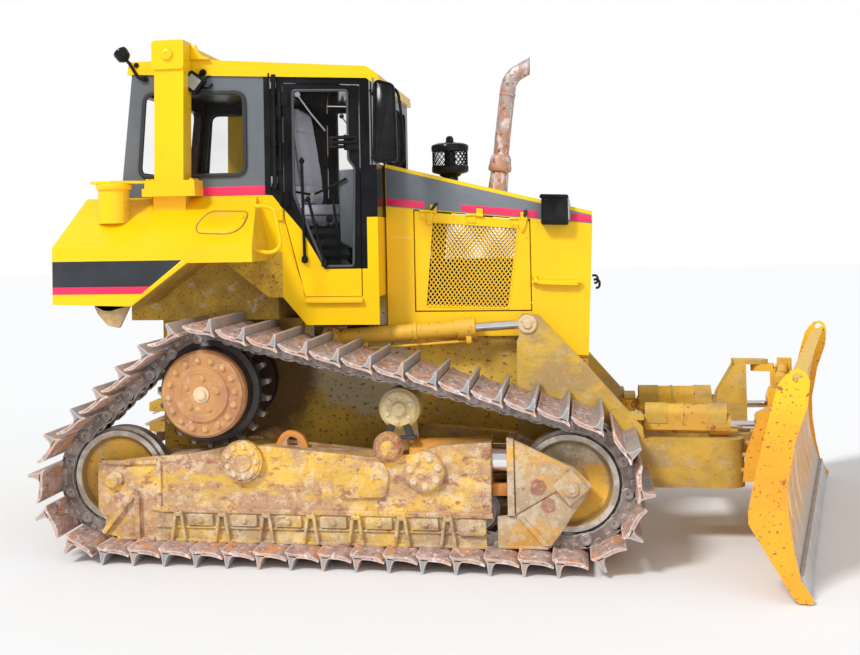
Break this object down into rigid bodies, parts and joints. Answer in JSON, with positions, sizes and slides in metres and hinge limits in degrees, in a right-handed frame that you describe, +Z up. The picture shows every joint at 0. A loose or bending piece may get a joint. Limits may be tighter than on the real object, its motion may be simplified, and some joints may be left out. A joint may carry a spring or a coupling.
{
  "type": "bulldozer",
  "caption": "Crawler bulldozer with raised drive sprockets, an enclosed cab and a six-way blade that lifts, angles and tilts.",
  "frame": {"origin": "on the ground, in the middle of the machine's footprint with the blade", "axes": "+X forward, towards the blade; +Y to the driver's left; +Z up"},
  "size_m": [4.5943, 3.4616, 2.838],
  "materials": {
    "yellow_paint": "satin",
    "black_paint": "satin",
    "track_steel": "matte",
    "dark_metal": "matte",
    "worn_steel": "satin",
    "chrome_rod": "gloss",
    "rusty_steel": "matte",
    "clear_glass": "gloss",
    "black_plastic": "matte",
    "grey_vinyl": "satin"
  },
  "bodies": {
    "machine": {"track_right": "track_steel", "track_left": "track_steel", "sprocket_right": "track_steel", "sprocket_left": "track_steel", "final_drive_right": "yellow_paint", "final_drive_left": "yellow_paint", "idlers_right": "track_steel", "idlers_left": "track_steel", "rollers_right": "track_steel", "rollers_left": "track_steel", "track_frame_right": "yellow_paint", "track_frame_left": "yellow_paint", "roller_guard_right": "yellow_paint", "roller_guard_left": "yellow_paint", "idler_yoke_right": "yellow_paint", "idler_yoke_left": "yellow_paint", "carrier_roller_right": "track_steel", "carrier_roller_left": "track_steel", "side_panels_right": "yellow_paint", "side_panels_left": "yellow_paint", "main_frame": "yellow_paint", "engine_block": "dark_metal", "radiator_guard": "yellow_paint", "hood": "yellow_paint", "precleaner": "black_paint", "exhaust": "rusty_steel", "work_lamps": "black_paint", "cab_shell": "black_paint", "cab_roof": "yellow_paint", "cab_glass": "clear_glass", "operator_seat": "grey_vinyl", "console": "black_plastic", "rops_frame": "yellow_paint", "fuel_tank": "yellow_paint", "equalizer_bar": "dark_metal", "drawbar": "yellow_paint", "mirrors": "black_paint", "grab_handles": "yellow_paint"},
    "c_frame": {"c_frame": "yellow_paint"},
    "blade_yoke": {"blade_yoke": "yellow_paint"},
    "blade": {"blade": "yellow_paint", "cutting_edge": "worn_steel"},
    "lift_barrel_right": {"lift_barrel_right": "yellow_paint"},
    "lift_barrel_left": {"lift_barrel_left": "yellow_paint"},
    "lift_rod_right": {"lift_rod_right": "chrome_rod"},
    "lift_rod_left": {"lift_rod_left": "chrome_rod"},
    "angle_barrel_right": {"angle_barrel_right": "yellow_paint"},
    "angle_barrel_left": {"angle_barrel_left": "yellow_paint"},
    "angle_rod_right": {"angle_rod_right": "chrome_rod"},
    "angle_rod_left": {"angle_rod_left": "chrome_rod"},
    "grille_door_right": {"grille_door_right": "yellow_paint"},
    "grille_door_left": {"grille_door_left": "yellow_paint"},
    "tilt_barrel": {"tilt_barrel": "yellow_paint"},
    "tilt_rod": {"tilt_rod": "chrome_rod"},
    "cab_door_right": {"cab_door_right": "yellow_paint", "door_glass_right": "clear_glass"},
    "cab_door_left": {"cab_door_left": "yellow_paint", "door_glass_left": "clear_glass"}
  },
  "joints": [
    {"name": "blade_lift", "type": "hinge", "parent": "machine", "child": "c_frame", "pos_m": [-0.18, 0, 0.54], "axis": [0, -1, 0], "range_deg": [-12, 20]},
    {"name": "blade_angle", "type": "hinge", "parent": "c_frame", "child": "blade_yoke", "pos_m": [1.665, 0, 0.48], "axis": [0, 0, 1], "range_deg": [-13.16, 34.84]},
    {"name": "blade_tilt", "type": "hinge", "parent": "blade_yoke", "child": "blade", "pos_m": [1.665, 0, 0.48], "axis": [0.9822, -0.1881, 0], "range_deg": [-7.5, 7.5]},
    {"name": "lift_barrel_right", "type": "hinge", "parent": "machine", "child": "lift_barrel_right", "pos_m": [-0.749, -0.5525, 1.129], "axis": [0, -1, 0], "range_deg": [-6.9, 11.1]},
    {"name": "lift_rod_right", "type": "slide", "parent": "lift_barrel_right", "child": "lift_rod_right", "axis": [0.9977, 0, 0.0682], "range_m": [-0.228, 0.137]},
    {"name": "lift_barrel_left", "type": "hinge", "parent": "machine", "child": "lift_barrel_left", "pos_m": [-0.749, 0.5525, 1.129], "axis": [0, -1, 0], "range_deg": [-6.9, 11.1]},
    {"name": "lift_rod_left", "type": "slide", "parent": "lift_barrel_left", "child": "lift_rod_left", "axis": [0.9977, 0, 0.0682], "range_m": [-0.228, 0.137]},
    {"name": "angle_barrel_right", "type": "hinge", "parent": "c_frame", "child": "angle_barrel_right", "pos_m": [0.938, -0.436, 0.64], "axis": [0, 0, 1], "range_deg": [-1.44, 3.32]},
    {"name": "angle_rod_right", "type": "slide", "parent": "angle_barrel_right", "child": "angle_rod_right", "axis": [0.998, -0.0634, 0], "range_m": [-0.109, 0.287]},
    {"name": "angle_barrel_left", "type": "hinge", "parent": "c_frame", "child": "angle_barrel_left", "pos_m": [0.938, 0.436, 0.64], "axis": [0, 0, 1], "range_deg": [-1.1, 2.41]},
    {"name": "angle_rod_left", "type": "slide", "parent": "angle_barrel_left", "child": "angle_rod_left", "axis": [0.9995, 0.0326, 0], "range_m": [-0.288, 0.109]},
    {"name": "tilt_barrel", "type": "hinge", "parent": "blade_yoke", "child": "tilt_barrel", "pos_m": [1.79554, -0.01482, 0.915], "axis": [0.9822, -0.1881, 0], "range_deg": [-6.6, 6.6]},
    {"name": "tilt_rod", "type": "slide", "parent": "tilt_barrel", "child": "tilt_rod", "axis": [-0.1851, -0.9665, -0.1778], "range_m": [-0.057, 0.057]},
    {"name": "cab_door_right", "type": "hinge", "parent": "machine", "child": "cab_door_right", "pos_m": [-1, -0.734, 1.95], "axis": [0, 0, -1], "range_deg": [0, 80]},
    {"name": "cab_door_left", "type": "hinge", "parent": "machine", "child": "cab_door_left", "pos_m": [-1, 0.734, 1.95], "axis": [0, 0, 1], "range_deg": [0, 80]},
    {"name": "grille_door_right", "type": "hinge", "parent": "machine", "child": "grille_door_right", "pos_m": [0.05, -0.459, 1.82195], "axis": [-0.9946, 0, 0.1036], "range_deg": [0, 95]},
    {"name": "grille_door_left", "type": "hinge", "parent": "machine", "child": "grille_door_left", "pos_m": [0.05, 0.459, 1.82195], "axis": [0.9946, 0, -0.1036], "range_deg": [0, 95]}
  ],
  "couplings": [
    {"joint": "lift_barrel_right", "follows": "blade_lift", "ratio": 0.52997},
    {"joint": "lift_rod_right", "follows": "blade_lift", "m_per_rad": -0.65075},
    {"joint": "lift_barrel_left", "follows": "blade_lift", "ratio": 0.52997},
    {"joint": "lift_rod_left", "follows": "blade_lift", "m_per_rad": -0.65075},
    {"joint": "angle_barrel_right", "follows": "blade_angle", "ratio": 0.08679},
    {"joint": "angle_rod_right", "follows": "blade_angle", "m_per_rad": 0.47074},
    {"joint": "angle_barrel_left", "follows": "blade_angle", "ratio": 0.06052},
    {"joint": "angle_rod_left", "follows": "blade_angle", "m_per_rad": -0.47308},
    {"joint": "tilt_barrel", "follows": "blade_tilt", "ratio": 0.8517},
    {"joint": "tilt_rod", "follows": "blade_tilt", "m_per_rad": 0.42581}
  ]
}
